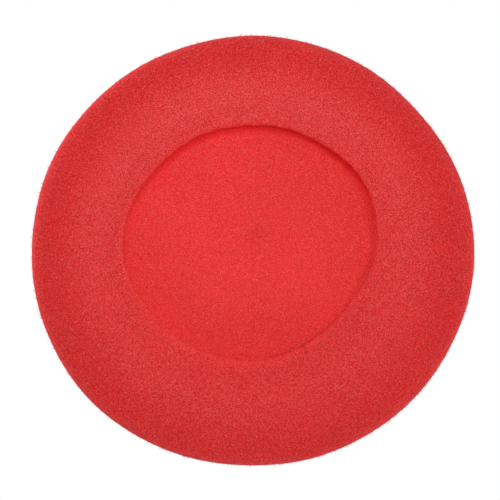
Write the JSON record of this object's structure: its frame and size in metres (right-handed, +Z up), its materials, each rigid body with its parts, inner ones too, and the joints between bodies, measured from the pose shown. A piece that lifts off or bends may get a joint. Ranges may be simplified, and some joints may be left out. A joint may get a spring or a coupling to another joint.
{
  "type": "beret",
  "caption": "Round flat beret of felted wool with a soft rounded edge, a turned-in head opening underneath and a short stem at the centre of the crown.",
  "frame": {"origin": "on the hat's axis, on the surface that it lies on", "axes": "+Z up through the crown, as the hat is worn; the head opening faces -Z; the linking seam runs out from the stem at 68 degrees from +X towards +Y"},
  "size_m": [0.276, 0.276, 0.0365],
  "materials": {
    "wool_felt": "brushed napped wool felt",
    "linking_yarn": "twisted wool yarn",
    "hem_thread": "matt polyester sewing thread",
    "elastic_cord": "braided covering over a rubber core",
    "stem_wool": "dense hand-felted wool"
  },
  "bodies": {
    "underside": {"underside_ring": "wool_felt", "opening_hem": "wool_felt", "edge_roll_lower": "wool_felt", "hem_elastic": "elastic_cord", "hem_stitches": "hem_thread", "linking_seam_underside": "linking_yarn"},
    "crown": {"crown_top": "wool_felt", "edge_roll_upper": "wool_felt", "linking_seam_crown": "linking_yarn", "stem_root_knot": "stem_wool"},
    "stem": {"stem": "stem_wool"}
  },
  "joints": [
    {"name": "crown_rise", "type": "slide", "parent": "underside", "child": "crown", "axis": [0, 0, 1], "range_m": [0, 0.022], "stiffness_N_per_m": 40},
    {"name": "stem_bend", "type": "hinge", "parent": "crown", "child": "stem", "pos_m": [0.004, -0.0105, 0.0263], "axis": [1, 0, 0], "range_deg": [-65, 65], "stiffness_Nm_per_rad": 0.0004}
  ]
}
